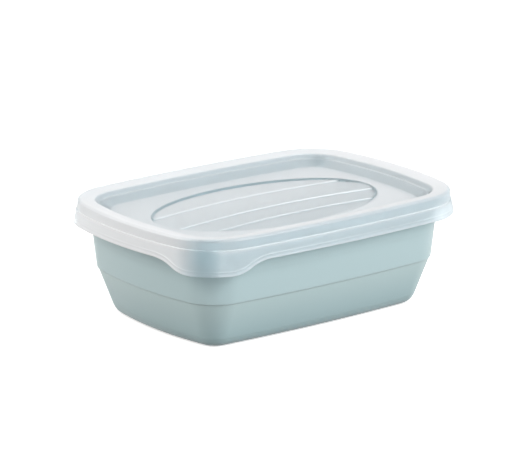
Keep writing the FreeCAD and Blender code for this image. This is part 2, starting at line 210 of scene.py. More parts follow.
def mesh_object(name, points, quads, triangles):
    """Object at the origin from points in millimetres and its faces."""
    mesh = bpy.data.meshes.new(name)
    corners = np.concatenate([quads.ravel(), triangles.ravel()]).astype(np.int32)
    sizes = np.repeat([4, 3], [len(quads), len(triangles)])
    starts = np.concatenate([[0], np.cumsum(sizes)[:-1]]).astype(np.int32)
    mesh.vertices.add(len(points))
    mesh.vertices.foreach_set("co", (points * MM).astype(np.float32).ravel())
    mesh.loops.add(len(corners))
    mesh.loops.foreach_set("vertex_index", corners)
    mesh.polygons.add(len(sizes))
    mesh.polygons.foreach_set("loop_start", starts)
    mesh.polygons.foreach_set("use_smooth", np.ones(len(sizes), dtype=bool))
    mesh.update(calc_edges=True)
    piece = bpy.data.objects.new(name, mesh)
    bpy.context.scene.collection.objects.link(piece)
    return piece


def point_value(piece, name, values):
    """Store one number per point, for a material to read."""
    attribute = piece.data.attributes.new(name, "FLOAT", "POINT")
    attribute.data.foreach_set("value", np.asarray(values, dtype=np.float32))


def level(place, out, inset, height):
    """One ring: the outline moved in by the inset, at a height."""
    flat = place - np.reshape(inset, (-1, 1)) * out
    return np.column_stack([flat, np.broadcast_to(height, len(flat))])


# %% [markdown]
# ## The box
# The lower part is one moulding in pigmented plastic: a flat base, a rounded
# foot, walls that lean in more below a small step half way up, and a flange
# with a turned-down lip that the lid grips.  A solidified shell would do, but
# the flange is thicker than a fold of the wall, so one closed profile is drawn
# round the whole section, outside and in, and carried round the outline.

# %% The box's section
SKIRT_LEVEL = 50.1       # lower edge of the lid's skirt
WALL_INSET = 9.1         # box wall, at that level
UPPER_DRAFT = 6.6
LOWER_DRAFT = 20.7
STEP_LEVEL = 25.9
STEP_WIDTH = 0.8
FOOT_RADIUS = 7.0
FOOT_HIGH = 4.8          # a faint line above the foot
FOOT_STEP = 0.15
BOX_WALL = 1.3
FLANGE_INSET = HALF_LENGTH - BOX_HIGH[0]
FLANGE_TOP = BOX_HIGH[2]
FLANGE_THICK = 1.2
FLANGE_LIP = 3.2
FLANGE_BEVEL = 1.6
FLAT_INSET = 31.0        # inside this the base is scaled copies of one ring


def box_profile():
    """Closed section of the box, from under the base to the inside floor."""
    def wall(height):
        return WALL_INSET + (SKIRT_LEVEL - height) * tangent(UPPER_DRAFT)

    step_low = STEP_LEVEL - STEP_WIDTH
    low_inset = wall(STEP_LEVEL) + STEP_WIDTH
    foot = low_inset + step_low * tangent(LOWER_DRAFT)
    lean = BOX_WALL / math.cos(math.radians(LOWER_DRAFT))
    inner_foot = foot + lean - BOX_WALL * tangent(LOWER_DRAFT)
    flange_low = FLANGE_TOP - FLANGE_THICK
    lip_low = FLANGE_TOP - FLANGE_LIP
    mouth = wall(FLANGE_TOP - FLANGE_BEVEL) + BOX_WALL
    corners = [
        (FLAT_INSET, 0.0, 0), (foot + FOOT_STEP, 0.0, FOOT_RADIUS),
        (foot + FOOT_STEP - FOOT_HIGH * tangent(LOWER_DRAFT), FOOT_HIGH, 0),
        (foot - (FOOT_HIGH + FOOT_STEP) * tangent(LOWER_DRAFT),
         FOOT_HIGH + FOOT_STEP, 0.1),
        (low_inset, step_low, 1.2), (wall(STEP_LEVEL), STEP_LEVEL, 1.2),
        (wall(flange_low), flange_low, 0.5),
        (FLANGE_INSET + FLANGE_THICK, flange_low, 0.3),
        (FLANGE_INSET + FLANGE_THICK, lip_low, 0.4),
        (FLANGE_INSET, lip_low, 0.4), (FLANGE_INSET, FLANGE_TOP, 0.7),
        (mouth - FLANGE_BEVEL, FLANGE_TOP, 0.4),
        (mouth, FLANGE_TOP - FLANGE_BEVEL, 0.6),
        (wall(STEP_LEVEL) + BOX_WALL, STEP_LEVEL, 0.4),
        (low_inset + lean, step_low, 0.4),
        (inner_foot, BOX_WALL, FOOT_RADIUS - BOX_WALL),
        (FLAT_INSET, BOX_WALL, 0)]
    return rounded(corners, steps=6, longest=2.5)


def make_box(around=480, inner=8):
    """The box: its section round the outline, with the base filled by scaling.

    Inside the last ring, the base's rings are that ring times 1 down to 0.
    """
    place, out = outline(np.arange(around) / around)
    rings = [level(place, out, inset, height) for inset, height in box_profile()]
    shares = np.linspace(1, 0, inner + 1)[1:-1]
    under = [rings[0] * [share, share, 1] for share in shares[::-1]]
    floor = [rings[-1] * [share, share, 1] for share in shares]
    stack = under + rings + floor
    points = np.concatenate(stack + [[[0, 0, 0.0]], [[0, 0, BOX_WALL]]])
    quads = ring_quads(len(stack), around)[:, ::-1]
    first = np.arange(around)
    last = first + (len(stack) - 1) * around
    under_middle = len(points) - 2
    triangles = np.concatenate([fan(under_middle, first, False),
                                fan(under_middle + 1, last, True)])
    return mesh_object("box_shell", points, quads, triangles)


box_shell = make_box()
print("box faces:", len(box_shell.data.polygons))

# %% [markdown]
# ## The lid from outside to inside
# The lid is one moulding.  From its lower edge the skirt goes up as a flared
# band, turns in over a thin ledge to a neck, rounds over a rim, drops into a
# recess with a shoulder half way down, and ends in a flat panel.  A second,
# oval recess in the panel has a floor of overlapping planks.  All of it is one
# grid of rings here, because a single surface lets light run unbroken across
# it, and the underside is the same grid again, one wall lower.

# %% Sizes of the lid
LID_WALL = 1.1
LID_TOP = LID_HIGH[2]
BAND_RISE = 7.1
BAND_FLARE = 1.3
LEDGE_WIDTH = 0.5
NECK_INSET = 2.1
CROWN_RADIUS = 1.2
MOUTH_INSET = 11.2
MOUTH_LEVEL = LID_TOP - 1.2
SHOULDER_INSET = 13.4
SHOULDER_LEVEL = LID_TOP - 3.4
PANEL_INSET = 19.6
PANEL_LEVEL = LID_TOP - 6.5
PANEL_LAND = 2.5         # flat run inside the panel's edge
SHOULDER_LAND = 0.9      # nearly flat run of the shoulder
LEDGE_LEVEL = SKIRT_LEVEL + BAND_RISE
OVAL_LENGTH = 137.0
OVAL_FAR = 38.5          # its reach toward +Y
OVAL_NEAR = 41.4         # and toward -Y
PLANK_ACROSS = 6.0       # x of the axis that the crests curve round
PLANK_CRESTS = np.array([18.6, -4.3, -21.52])   # their y at that x
CREST_RADIUS = 380.0     # of the farthest crest
PLANK_AXIS = PLANK_CRESTS[0] - CREST_RADIUS     # y of the axis
PLANK_DEPTH = 1.2
PLANK_STEP = 0.8
print("panel at", PANEL_LEVEL, "mm, ledge at", LEDGE_LEVEL, "mm")

# %% [markdown]
# ## Rings that turn from an oval into the outline
# The oval and the outline must share one set of rings.  The oval's points are
# chosen first, more of them where a plank's crest meets the wall, and each
# outline point takes the same share of the way round as its oval point's
# direction suggests.  Rings between the two are straight blends of them.

# %% Shared directions
def oval_points(turn):
    """The oval: (a sin t, b cos t), with its own b for the far and near half."""
    reach = np.where(np.cos(turn) > 0, OVAL_FAR, OVAL_NEAR)
    return np.stack([OVAL_LENGTH / 2 * np.sin(turn), reach * np.cos(turn)], 1)


def plank_radius(x, y):
    """Distance from the plank axis: hypot(x - across, y - axis)."""
    return np.hypot(x - PLANK_ACROSS, y - PLANK_AXIS)


def oval_turns(rows=170, close=0.02, begin=-0.3, smallest=1e-4):
    """Turns all the way round the oval in pairs, closer together at each crest.

    A turn's radius is its point's distance from the plank axis.  Down the right
    half, from the farthest point to the nearest, it falls; each of those turns
    is paired with the one of equal radius on the left, in the reverse order.
    The search begins just before the farthest point, and turns that are nearer
    together than smallest are dropped.
    """
    fine = np.linspace(begin, 2 * math.pi + begin, 60001)
    radius = plank_radius(*oval_points(fine).T)
    first, last = radius.argmax(), radius.argmin()
    right, left = slice(first, last + 1), slice(last, None)
    even = np.linspace(fine[first], fine[last], rows)
    extra = []
    for crest in PLANK_CRESTS:
        meets = np.interp(PLANK_AXIS - crest, -radius[right], fine[right])
        extra.append(meets + np.linspace(-close, close, 9))
    turns = np.unique(np.concatenate([even] + extra))
    turns = turns[np.diff(turns, prepend=-1) > smallest]
    across = np.append(fine[left], fine[first] + 2 * math.pi)
    reach = np.append(radius[left], radius[first])
    pairs = np.interp(plank_radius(*oval_points(turns[-2:0:-1]).T), reach, across)
    return np.concatenate([turns, pairs]), len(turns) - 1


def loop_directions(turns):
    """Oval points and normals, outline points and normals, all the way round.

    The way round is clockwise from +Y: the right half down, the left half up.
    The outline's matching share is where its own x/y ratio, squashed to a
    circle, has the oval's turn.
    """
    oval = oval_points(turns)
    reach = np.where(np.cos(turns) > 0, OVAL_FAR, OVAL_NEAR)
    normal = np.stack([np.sin(turns) / OVAL_LENGTH,
                       np.cos(turns) / (2 * reach)], 1)
    normal /= np.hypot(*normal.T)[:, None]
    shares = np.linspace(0, 1, 8001)
    place, _ = outline(shares[:-1])
    angle = np.unwrap(np.arctan2(place[:, 0] / HALF_LENGTH,
                                 place[:, 1] / HALF_WIDTH))
    angle = np.append(angle, 2 * math.pi)
    share = np.interp(turns % (2 * math.pi), angle, shares)
    return oval, normal, *outline(share)


# %% [markdown]
# ## Plank relief and finger tab as formulas
# The planks of the oval's floor overlap like roof shingles: each one lies low
# just in front of a crest and rises to the next.  The tab is the skirt's lower
# edge dropping in two smooth bends at one corner.  Both are functions of
# position, so the same grid can carry them without being cut.

# %% Plank depths and the tab's drop
GATE_MIDDLE = (4.2, 4.0)
GATE_RADIUS = 3.9
GATE_DEPTH = 0.35


def bump(distance, reach):
    """A smooth rise (1 + cos) / 2 that is 1 at the middle and 0 at its reach."""
    return (1 + np.cos(math.pi * np.clip(np.abs(distance) / reach, 0, 1))) / 2


def distance_from(middle, x, y):
    """Distance of each point from a middle: hypot(x - its x, y - its y)."""
    return np.hypot(x - middle[0], y - middle[1])


def plank_depth(x, y, soft=0.32, cell=0.02, limit=60, beyond=40):
    """How far the planks' floor lies below the panel at each point.

    Measured along the middle line, c is a crest and d the next one toward -Y:
    depth = PLANK_DEPTH - PLANK_STEP * (c - v) / (c - d), with v = distance from
    the plank axis + axis, and the last plank lies flat.  The table of v runs
    from -limit to limit in steps of cell, and the far plank starts beyond the
    oval.  A running mean of width soft, taken twice, rounds each step, and a
    shallow dish marks the moulding gate.
    """
    crests = np.concatenate([[-limit], PLANK_CRESTS[::-1], [beyond]])
    table = np.arange(-limit, limit, cell)
    number = np.clip(np.searchsorted(crests, table), 1, len(crests) - 1)
    high, low = crests[number], crests[number - 1]
    depth = PLANK_DEPTH - PLANK_STEP * (high - table) / (high - low)
    depth = np.where(table < PLANK_CRESTS[-1], PLANK_DEPTH, depth)
    window = int(soft / cell)
    for _ in range(2):
        depth = np.convolve(depth, np.ones(window) / window, mode="same")
    dish = GATE_DEPTH * bump(distance_from(GATE_MIDDLE, x, y), GATE_RADIUS)
    return np.interp(plank_radius(x, y) + PLANK_AXIS, table, depth) + dish


TAB_DROP = 6.0
TAB_REACH = 60.7         # width where its bends begin
TAB_FOOT = 19.3          # width of its straight lower edge
TAB_TURN = math.radians(48.7)      # from -X toward -Y


def tab_drop(place):
    """How far the skirt's lower edge drops at each outline point.

    Across the tab, with s measured in from its end over a run L and drop H,
    the edge is two arcs of radius R = (L^2 + H^2) / 4H: R - sqrt(R^2 - s^2) for
    the first half, and the same turned over for the second.
    """
    beyond = place + np.abs(CORNER)
    out = -np.array([math.cos(TAB_TURN), math.sin(TAB_TURN)])
    across = beyond @ np.array([-out[1], out[0]])
    ahead = beyond @ out > 0
    run = (TAB_REACH - TAB_FOOT) / 2
    radius = (run ** 2 + TAB_DROP ** 2) / (4 * TAB_DROP)
    along = np.clip(TAB_REACH / 2 - np.abs(across), 0, run)
    first = radius - np.sqrt(radius ** 2 - np.minimum(along, run / 2) ** 2)
    rest = radius - np.sqrt(radius ** 2 - np.minimum(run - along, run / 2) ** 2)
    return np.where(along < run / 2, first, TAB_DROP - rest) * ahead


# %% [markdown]
# ## Rings of the lid
# The rings run from the oval's floor up its wall, across the panel, up the
# recess, over the rim and down the skirt, round the lower edge and back along
# the inside.  Fine lines stand out on the real skirt: the ledge, a faint bead
# and a roll along the lower edge.  The ledge has its own small roundings in the
# profile; bead and roll follow the tab down, so they are bumps added to the band.

# %% Lid profiles
BAND_TOP = LEDGE_LEVEL - 0.55      # where the profile hands over to the band
INSIDE_TOP = LEDGE_LEVEL - 1.2     # and the band's inside to the underside


def upper_profile():
    """From the panel's edge to the ledge's underside, as inset and height."""
    corners = [
        (PANEL_INSET + PANEL_LAND, PANEL_LEVEL, 0),
        (PANEL_INSET, PANEL_LEVEL, 2.2),
        (SHOULDER_INSET + SHOULDER_LAND, SHOULDER_LEVEL - 0.18, 0.8),
        (SHOULDER_INSET, SHOULDER_LEVEL, 0.7),
        (MOUTH_INSET, MOUTH_LEVEL, 1.6),
        (NECK_INSET + CROWN_RADIUS, LID_TOP - 0.02, 1.6),
        (NECK_INSET, LID_TOP - CROWN_RADIUS, 0.9),
        (BAND_FLARE + LEDGE_WIDTH + 0.05, LEDGE_LEVEL + 0.5, 0.5),
        (BAND_FLARE + LEDGE_WIDTH, LEDGE_LEVEL + 0.12, 0.15),
        (BAND_FLARE, LEDGE_LEVEL, 0.2),
        (BAND_FLARE - 0.1, BAND_TOP, 0)]
    return rounded(corners, steps=6)


def under_profile():
    """From the inside of the skirt, under the ledge, to under the panel."""
    slope = 0.7 * LID_WALL
    corners = [
        (BAND_FLARE + LID_WALL, INSIDE_TOP, 0),
        (BAND_FLARE + LEDGE_WIDTH + LID_WALL, LEDGE_LEVEL, 0.6),
        (NECK_INSET + LID_WALL, LID_TOP - CROWN_RADIUS - 0.4, 0.3),
        (NECK_INSET + CROWN_RADIUS + 0.6, LID_TOP - LID_WALL, 0.4),
        (MOUTH_INSET - 0.5 * LID_WALL, MOUTH_LEVEL - LID_WALL, 0.5),
        (SHOULDER_INSET - slope, SHOULDER_LEVEL - slope, 0.4),
        (SHOULDER_INSET + SHOULDER_LAND - slope, SHOULDER_LEVEL - LID_WALL, 0.4),
        (PANEL_INSET - 0.5 * LID_WALL, PANEL_LEVEL - LID_WALL, 0.6),
        (PANEL_INSET + PANEL_LAND, PANEL_LEVEL - LID_WALL, 0)]
    return rounded(corners, steps=3)


BEAD_LEVEL = 2.4         # faint bead, above the skirt's lower edge
BEAD_OUT = 0.1
BEAD_REACH = 0.45
ROLL_LEVEL = 0.6         # roll along the lower edge itself
ROLL_OUT = 0.09
ROLL_REACH = 0.6
PLAIN_RINGS = 6          # evenly spaced, above the bead
FINE_RISES = (2.8, 2.6, 2.4, 2.2, 2.0, 1.7, 1.35, 1.1, 0.85, 0.6, 0.4, 0.2)
# Milk of the fine rings, raised at the bead and the roll as painted highlight lines.
FINE_MILK_AND_HIGHLIGHTS = [0.2, 0.3, 0.35, 0.3, 0.2, 0.15, 0.15, 0.3, 0.45, 0.45, 0.3, 0.2]
LIP = [(0.03, 0.12), (0.14, 0.02), (0.3, 0.0), (0.8, 0.0), (0.96, 0.03),
       (1.07, 0.14), (1.1, 0.5)]   # inset and rise round the lower edge


def band_inset(height):
    """Inset of the flared band: flare * (height - skirt level) / band rise."""
    return BAND_FLARE * (height - SKIRT_LEVEL) / BAND_RISE


def band_rings(place, out):
    """Rings from just under the ledge down to the lower edge, then inside.

    The band's own inset is made less by a bead and a roll, each a bump about
    its own height above the edge.
    """
    edge = SKIRT_LEVEL - tab_drop(place)
    low = edge + BEAD_LEVEL + 0.8
    heights = [BAND_TOP + (low - BAND_TOP) * share
               for share in np.linspace(0, 1, PLAIN_RINGS + 1)[1:]]
    heights += [edge + rise for rise in FINE_RISES]
    rings = []
    for height in heights:
        inset = band_inset(height)
        inset = inset - BEAD_OUT * bump(height - edge - BEAD_LEVEL, BEAD_REACH)
        inset = inset - ROLL_OUT * bump(height - edge - ROLL_LEVEL, ROLL_REACH)
        rings.append(level(place, out, inset, height))
    rings += [level(place, out, band_inset(edge) + more, edge + rise)
              for more, rise in LIP]
    begin = LIP[-1][1]
    inside = np.linspace(0, 1, 5)[1:-1]
    for share in inside:
        height = edge + begin + (INSIDE_TOP - edge - begin) * share
        rings.append(level(place, out, band_inset(height) + LID_WALL, height))
    # The fine rings carry painted highlight lines at the bead and the roll, and the
    # lip's raised milk is a painted highlight line along the lower edge.
    milk_and_painted_light = [0.2] * PLAIN_RINGS + FINE_MILK_AND_HIGHLIGHTS + [0.3] * len(LIP) + [0.2] * len(inside)
    return rings, milk_and_painted_light


# %% [markdown]
# ## How milky each place is, with painted light and shade
# Milky plastic is whiter where light has more of it to cross, and clearer where
# the wall is thin and faces the eye.  Over that lie painted light and shade:
# painted highlights along the rim, shoulder, ledge, bead, lower edge and crests,
# painted light at the short ends and toward +X on the panel, and painted shade
# on the planks toward the near side, in clearer or tinted patches at the
# corners, on the oval's wall and in a line by its near wall.  Painted masks
# could say where, but the places follow the profile, so the mesh carries this as
# one number per point: 0 for a clear wall, 1 for white, and below 0 for a deeper
# painted tint.  The lid's material reads it.

# %% Milkiness and painted light from the profile
NECK_ZONE = 2.4                    # the neck and ledge lie outside this inset
UNDER_MILK = 0.4                   # all of the underside
GLINT_MIDDLE = (4.2, 3.4)          # painted highlight ring on the gate's dish
GLINT_RADIUS = 3.4
GLINT_WIDTH = 0.9


def upper_milk_and_highlights(inset, height):
    """Milkiness of the rings from the panel to the ledge, with painted highlights
    along the rim, the shoulder and the ledge.

    The neck goes by height and the rest by inset, each through a short table.
    """
    # The raised values at the rim and the shoulder are painted highlights.
    at = [2.0, 2.7, 4.0, 10.4, 11.4, 12.0, 12.9, 13.3, 14.1, 14.7, 18.8, 19.8, 22]
    milk_and_painted_light = [0.2, 0.35, 0.7, 0.85, 0.6, 0.25, 0.25, 0.45, 0.35, 0.2, 0.2, 0.4, 0.6]
    # The 0.5 along the ledge is a painted highlight.
    neck = np.interp(height, [57.2, 57.45, 57.8, 61.0, 61.9],
                     [0.5, 0.5, 0.15, 0.15, 0.3])
    return np.where(inset < NECK_ZONE, neck, np.interp(inset, at, milk_and_painted_light))


def floor_milk_and_painted_light(x, y):
    """Milkiness of the planks' floor, with painted light and shade.

    It falls evenly from the far plank to the near one, a painted shade toward
    the near side.  Beside the near wall, by the distance inside the oval, runs a
    painted shadow line and then a painted highlight line that fade toward both
    ends, and the gate's dish has a painted highlight ring.  Across a crest at c,
    with v = distance from the plank axis + axis, a painted highlight lies where
    v - c is above -0.2, and painted shade just below.
    """
    span = plank_radius(x, y) + PLANK_AXIS
    # Painted shade: clearer toward the near planks.
    milk_and_painted_light = 0.44 + 0.18 * y / OVAL_FAR
    half_chord = np.sqrt(np.clip(1 - (2 * x / OVAL_LENGTH) ** 2, 0, 1))
    inside = OVAL_NEAR * half_chord + y
    # A painted shadow line, then a painted highlight line, beside the near wall.
    edge = np.interp(inside, [0.8, 1.6, 2.4, 3.2, 4.2], [-0.9, -0.7, 0.45, 0.45, 0])
    milk_and_painted_light = milk_and_painted_light + edge * bump(x - 8, 55) * (y < 0)
    # A painted highlight ring on the gate's dish.
    ring = distance_from(GLINT_MIDDLE, x, y) - GLINT_RADIUS
    milk_and_painted_light = milk_and_painted_light + 0.2 * bump(ring, GLINT_WIDTH)
    # A painted highlight on each crest and painted shade just below it.
    for crest in PLANK_CRESTS:
        milk_and_painted_light = milk_and_painted_light + np.interp(span - crest, [-0.8, -0.55, -0.3, -0.15, 0.2, 0.5],
                                [0, -0.4, -0.3, 0.15, 0.3, 0])
    return milk_and_painted_light


# %% [markdown]
# ## The oval's floor as rows along the planks
# The floor's points lie in rows that follow the crests: each pair of points on
# the oval is at one distance from the plank axis, so an arc about that axis
# joins them.  A square grid would be simpler, but it would cut the steps
# slantwise and leave a saw-tooth, where these rows give each a clean edge.

# %% The floor grid
def floor_points(ring, half, columns):
    """Rows of inner points between the two halves of the floor's edge ring.

    Row i joins point i with its pair.  Along it both the radius and the turn
    about the plank axis run evenly: x = across + radius * sin(turn).
    """
    right = ring[1:half] - [PLANK_ACROSS, PLANK_AXIS]
    left = ring[:half:-1] - [PLANK_ACROSS, PLANK_AXIS]
    shares = np.linspace(0, 1, columns + 2)[1:-1]
    from_right, from_left = (np.hypot(*side.T) for side in (right, left))
    start, stop = (np.arctan2(*side.T) for side in (right, left))
    radius = from_right[:, None] + (from_left - from_right)[:, None] * shares
    turn = start[:, None] + (stop - start)[:, None] * shares
    x = PLANK_ACROSS + radius * np.sin(turn)
    y = PLANK_AXIS + radius * np.cos(turn)
    return np.stack([x, y], -1)


def floor_faces(around, half, columns, first, flip):
    """Quads and end triangles of the floor grid.

    The row's index row is: right edge point, its inner points, left edge point.
    Rows 0 and half are single points of the ring, where the triangles close.
    """
    rows = np.arange(1, half)
    inner = first + (rows - 1)[:, None] * columns + np.arange(columns)[None, :]
    grid = np.column_stack([rows, inner, around - rows])
    quads = np.stack([grid[:-1, :-1], grid[1:, :-1], grid[1:, 1:], grid[:-1, 1:]], -1)
    quads = quads.reshape(-1, 4)
    top = np.stack([np.zeros(columns + 1, int), grid[0, :-1], grid[0, 1:]], -1)
    low = np.stack([np.full(columns + 1, half), grid[-1, 1:], grid[-1, :-1]], -1)
    triangles = np.concatenate([top, low])
    if flip:
        return quads[:, ::-1], triangles[:, ::-1]
    return quads, triangles


# %% [markdown]
# ## All of the lid's rings in one stack
# The oval's wall leans out a little and is rounded where it meets the panel.
# From there the rings go out over panel, recess, rim and skirt and come back
# underneath.  They could be made as separate strips and welded, but a single
# stack needs no weld, and each ring's milkiness, with its painted light and
# shade, is written beside it.

# %% The lid's rings
WALL_FOOT = 1.1          # how far inside the oval its wall meets the floor
OVAL_WALL = [            # step out, share of the rise, milk with painted shade on far and near side
    (-WALL_FOOT, 0.0, 0.0, 0.0), (-0.9, 0.05, -0.6, 0.0), (-0.6, 0.3, -0.7, -0.5),
    (-0.2, 0.65, -0.7, -0.8), (0.0, 0.85, -0.6, -0.8), (0.2, 0.97, 0.0, -0.5),
    (0.5, 1.0, 0.5, 0.3)]
PANEL_MILK = 0.57        # more is added toward +X as painted light
CORNER_TURN = 39         # degrees from X, middle of a corner's painted shade patch
CORNER_SPREAD = 29
SKIRT_REACH = 92.5       # rings that reach farther along X are neck and skirt


def between(first, last, shares):
    """Rings blended straight from one to another: first + share * (last - first)."""
    return [first + (last - first) * share for share in shares]


def milk_with_painted_light_and_shade(rings, milk_and_painted_light, out):
    """Milk of every point, with painted light at the short ends and painted shade at
    the corners.

    reach is a ring's largest x.  Toward the ends milk goes up by a share of
    what it lacks to 1, as painted light.  At corners it is scaled down as painted
    shade, and on the skirt a little more is taken off, which leaves it below 0.
    """
    reach = np.array([np.abs(ring[:, 0]).max() for ring in rings])
    # Painted light: whiter toward the short ends.
    ends = np.interp(reach, [72, 78, 86, 90, 93], [0, 0.1, 0.1, 0.6, 0.75])
    ends = ends[:, None] * np.abs(out[:, 0]) ** 5
    turn = np.degrees(np.arctan2(np.abs(out[:, 1]), np.abs(out[:, 0])))
    # Painted shade at the corners: partly on the recess, fully on the neck and skirt.
    corner_shade_reach = np.interp(reach, [76, 78, 82, 84, 92.4, 92.6], [0, 0.6, 0.6, 0, 0, 1])
    corners = corner_shade_reach[:, None] * bump(turn - CORNER_TURN, CORNER_SPREAD)
    # Deeper painted shade on the skirt's corners.
    corner_painted_shade = 0.25 * (reach > SKIRT_REACH)[:, None] * corners
    milk_and_painted_light = np.stack([part + 0 * turn for part in milk_and_painted_light]) * (1 - corners) - corner_painted_shade
    return (milk_and_painted_light + ends * (1 - milk_and_painted_light)).ravel()


def lid_rings(oval, normal, place, out, floor):
    """All rings of the lid, from the oval's floor round to its underside."""
    rings = [np.column_stack([oval + step * normal,
                              floor + rise * (PANEL_LEVEL - floor)])
             for step, rise, _, _ in OVAL_WALL]
    # Painted shade on the oval's wall, on its far side and in a line on its near side,
    # and painted light toward the oval's ends.
    near = np.clip(-1.2 * normal[:, 1], 0, 1) ** 2
    ends = np.abs(normal[:, 0]) ** 8
    milk_and_painted_light = [far + near * (close - far) + 0.5 * ends * (1 - far)
            for _, _, far, close in OVAL_WALL]
    panel = level(place, out, PANEL_INSET + PANEL_LAND, PANEL_LEVEL)
    across_panel = between(rings[-1], panel, np.linspace(0, 1, 12)[1:-1])
    rings += across_panel
    # Painted light: the panel grows whiter toward +X.
    right = np.clip(place[:, 0] / HALF_LENGTH, 0, 1)
    milk_and_painted_light += [PANEL_MILK + 0.12 * right] * len(across_panel)
    upper = upper_profile()
    rings += [level(place, out, inset, height) for inset, height in upper]
    milk_and_painted_light += list(upper_milk_and_highlights(*upper.T))
    band, band_milk_and_highlights = band_rings(place, out)
    rings += band
    milk_and_painted_light += band_milk_and_highlights
    rings += [level(place, out, inset, height) for inset, height in under_profile()]
    under = PANEL_LEVEL - LID_WALL
    wall_low = np.column_stack([oval + LID_WALL * normal, np.full(len(oval), under)])
    rings += between(rings[-1], wall_low, np.linspace(0, 1, 5)[1:])
    low_floor = np.maximum(floor - LID_WALL, under - PLANK_DEPTH)
    rings.append(np.column_stack([oval + 0.6 * normal, low_floor]))
    milk_and_painted_light += [UNDER_MILK] * (len(rings) - len(milk_and_painted_light))
    return rings, milk_with_painted_light_and_shade(rings, milk_and_painted_light, out)


# %% [markdown]
# ## The lid's mesh
# The stack of rings is open in the middle, above and below.  The floor's grid
# closes it above, and the same grid one wall lower closes it below, so the lid
# is one closed skin with a true thickness, which rough glass needs.

# %% The lid's mesh
def make_lid(columns=64):
    """The lid: floor grid, rings out, down and back in, and the floor's underside.

    The lower grid's edge belongs to the last ring and not the first, so its
    indices below one ring's length are moved on to that ring.
    """
    turns, half = oval_turns()
    oval, normal, place, out = loop_directions(turns)
    around = len(oval)
    edge = oval - WALL_FOOT * normal
    floor = PANEL_LEVEL - plank_depth(*edge.T)
    rings, milk_and_painted_light = lid_rings(oval, normal, place, out, floor)
    ring_points = around * len(rings)
    flat = floor_points(edge, half, columns).reshape(-1, 2)
    depth = plank_depth(*flat.T)
    upper = np.column_stack([flat, PANEL_LEVEL - depth])
    under = PANEL_LEVEL - LID_WALL
    lower = np.column_stack([flat, np.maximum(under - depth, under - PLANK_DEPTH)])
    points = np.concatenate(rings + [upper, lower])
    top = floor_faces(around, half, columns, ring_points, True)
    low = floor_faces(around, half, columns, ring_points + len(flat), False)
    last_ring = ring_points - around
    low = [np.where(faces < around, faces + last_ring, faces) for faces in low]
    quads = np.concatenate([ring_quads(len(rings), around), top[0], low[0]])
    triangles = np.concatenate([top[1], low[1]])
    piece = mesh_object("lid_shell", points, quads, triangles)
    under_milk = np.full(len(flat), UNDER_MILK)
    # The milk attribute holds the plastic's milkiness together with the painted light
    # and shade.
    point_value(piece, "milk_and_painted_light", np.concatenate([milk_and_painted_light, floor_milk_and_painted_light(*flat.T), under_milk]))
    return piece


lid_shell = make_lid()
print("lid triangles:", 2 * len(lid_shell.data.polygons))

# %% [markdown]
# ## Plastics
# Both pieces are polypropylene.  The box is pigmented all through, so it is an
# opaque satin surface.  A ramp over height sets its colour with painted shade
# and light: darker toward the foot, lighter just under the step, and lighter
# again just under the lid's skirt, where the skirt's shadow falls.  The lid has
# no pigment: it is milky, so it lets through blurred light and shows a shadow of
# what lies under it.  Glass with a rough surface does this, and a share of plain
# pale body keeps it from looking clear.  The body's mix isn't clamped: milk below
# 0 goes on past the clear colour to a deeper tint, which paints shade.

# %% Materials
PLASTIC_IOR = 1.49


def new_material(name):
    """A node material with its Principled shader, ready for values."""
    material = bpy.data.materials.new(name)
    material.use_nodes = True
    return material, material.node_tree.nodes["Principled BSDF"]


def moulded_grain(material, shader, scale, strength):
    """A fine uneven surface from noise on the object's own coordinates."""
    nodes, links = material.node_tree.nodes, material.node_tree.links
    place = nodes.new("ShaderNodeTexCoord")
    noise = nodes.new("ShaderNodeTexNoise")
    noise.inputs["Scale"].default_value = scale
    noise.inputs["Detail"].default_value = 3
    relief = nodes.new("ShaderNodeBump")
    relief.inputs["Strength"].default_value = strength
    relief.inputs["Distance"].default_value = 0.0002
    links.new(place.outputs["Object"], noise.inputs["Vector"])
    links.new(noise.outputs["Fac"], relief.inputs["Height"])
    links.new(relief.outputs["Normal"], shader.inputs["Normal"])


def box_plastic_painted_light_and_shade():
    """Satin, pigmented polypropylene, coloured by height, 0 to 1 over 50 mm, with
    painted shade toward the foot and painted light under the step and under the lid's
    skirt.
    """
    material, shader = new_material("box_plastic_painted_light_and_shade")
    nodes, links = material.node_tree.nodes, material.node_tree.links
    shader.inputs["Roughness"].default_value = 0.38
    shader.inputs["IOR"].default_value = PLASTIC_IOR
    place = nodes.new("ShaderNodeTexCoord")
    axes = nodes.new("ShaderNodeSeparateXYZ")
    rise = nodes.new("ShaderNodeMapRange")
    rise.inputs["From Max"].default_value = 0.05
    body = nodes.new("ShaderNodeValToRGB")
    # The ramp holds the plastic's colour with painted shade and light: darker toward
    # the foot, lighter just under the step, and lighter again just under the lid's
    # skirt, where the skirt's shadow falls.
    colour_and_painted_shade_stops = [(0.0, (0.29, 0.415, 0.435)), (0.21, (0.375, 0.51, 0.53)),
             (0.498, (0.465, 0.60, 0.61)), (0.528, (0.405, 0.53, 0.55)),
             (0.82, (0.41, 0.535, 0.555)), (0.97, (0.54, 0.70, 0.72))]
    for _ in colour_and_painted_shade_stops[2:]:
        body.color_ramp.elements.new(0.5)
    for stop, (position, colour) in zip(body.color_ramp.elements, colour_and_painted_shade_stops):
        stop.position = position
        stop.color = (*colour, 1)
    links.new(place.outputs["Object"], axes.inputs[0])
    links.new(axes.outputs["Z"], rise.inputs["Value"])
    links.new(rise.outputs["Result"], body.inputs["Fac"])
    links.new(body.outputs["Color"], shader.inputs["Base Color"])
    moulded_grain(material, shader, 900, 0.12)
    return material


